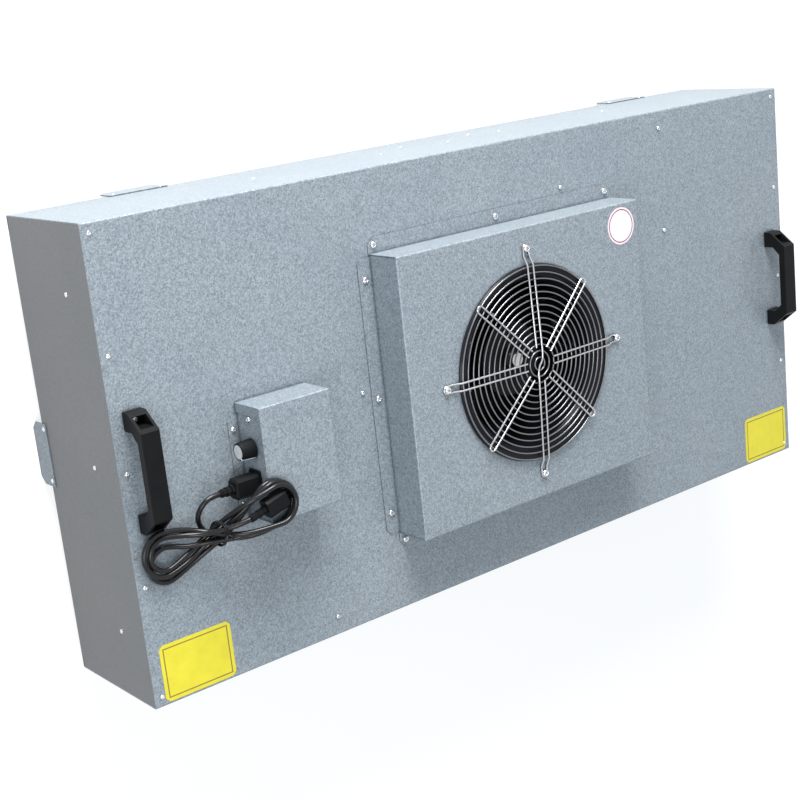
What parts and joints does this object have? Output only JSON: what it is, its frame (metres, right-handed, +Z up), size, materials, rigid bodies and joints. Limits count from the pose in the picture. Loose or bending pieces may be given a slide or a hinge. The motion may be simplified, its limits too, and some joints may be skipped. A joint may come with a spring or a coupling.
{
  "type": "fan filter unit",
  "caption": "Ceiling fan filter unit: a folded zinc-coated case with a raised fan inlet behind a wire guard, a speed control box with mains lead, handles, rim lugs and a filter inside.",
  "frame": {"origin": "middle of the case in plan, at the tips of the rim lugs", "axes": "+X along the case away from the control box, +Y across the case, +Z up, out of the air inlet"},
  "size_m": [1.1804, 0.5804, 0.2775],
  "materials": {
    "zinc_sheet": "galvanised, fine spangle",
    "bright_wire": "bright plated wire",
    "zinc_screws": "bright zinc plated",
    "black_moulding": "black, satin",
    "fan_black": "black, semi-gloss",
    "bright_cap": "turned, satin",
    "filter_paper": "matt white paper",
    "filter_alloy": "anodised, matt",
    "gasket_rubber": "matt foam",
    "cord_pvc": "black, glossy",
    "tie_wrap": "black, satin",
    "label_yellow": "satin vinyl",
    "label_white": "satin vinyl",
    "knob_grey": "satin"
  },
  "bodies": {
    "case": {"bearings": "zinc_screws", "box_screws": "zinc_screws", "case_wrap": "zinc_sheet", "control_cover": "zinc_sheet", "control_panel": "zinc_sheet", "cord_connector": "black_moulding", "cord_hank": "cord_pvc", "cord_lead": "cord_pvc", "cord_tie": "tie_wrap", "end_panel_left": "zinc_sheet", "end_panel_right": "zinc_sheet", "end_rivets": "zinc_screws", "fan_posts": "zinc_sheet", "fan_tray": "zinc_sheet", "filter_frame": "filter_alloy", "filter_gasket": "gasket_rubber", "filter_pack": "filter_paper", "filter_rail_back": "zinc_sheet", "filter_rail_front": "zinc_sheet", "filter_rail_left": "zinc_sheet", "filter_rail_right": "zinc_sheet", "guard_arms": "bright_wire", "guard_rings": "bright_wire", "guard_screws": "zinc_screws", "handle_left": "black_moulding", "handle_right": "black_moulding", "handle_screws": "zinc_screws", "hood": "zinc_sheet", "hood_screws": "zinc_screws", "inlet_ring": "black_moulding", "label_left": "label_yellow", "label_right": "label_yellow", "lug_back_left": "zinc_sheet", "lug_back_right": "zinc_sheet", "lug_front_left": "zinc_sheet", "lug_front_right": "zinc_sheet", "lug_left": "zinc_sheet", "lug_right": "zinc_sheet", "lug_screws": "zinc_screws", "mains_plug": "black_moulding", "plate_screws": "zinc_screws", "post_screws": "zinc_screws", "power_inlet": "black_moulding", "regulator_nut": "zinc_screws", "round_label": "label_white", "run_capacitor": "black_moulding", "side_rivets": "zinc_screws", "speed_regulator": "black_moulding", "stator": "fan_black", "terminal_block": "black_moulding"},
    "fan": {"impeller": "fan_black", "rotor_cup": "fan_black", "hub_cap": "bright_cap", "hub_screws": "zinc_screws", "motor_shaft": "zinc_screws"},
    "knob": {"speed_knob": "black_moulding", "knob_cap": "knob_grey", "knob_pointer": "label_white", "knob_shaft": "zinc_screws"}
  },
  "joints": [
    {"name": "fan_spin", "type": "hinge", "parent": "case", "child": "fan", "pos_m": [0.003, 0.0005, 0.18], "axis": [0, 0, 1], "continuous": true},
    {"name": "knob_turn", "type": "hinge", "parent": "case", "child": "knob", "pos_m": [-0.426, -0.005, 0.234], "axis": [-1, 0, 0], "range_deg": [0, 300]}
  ]
}
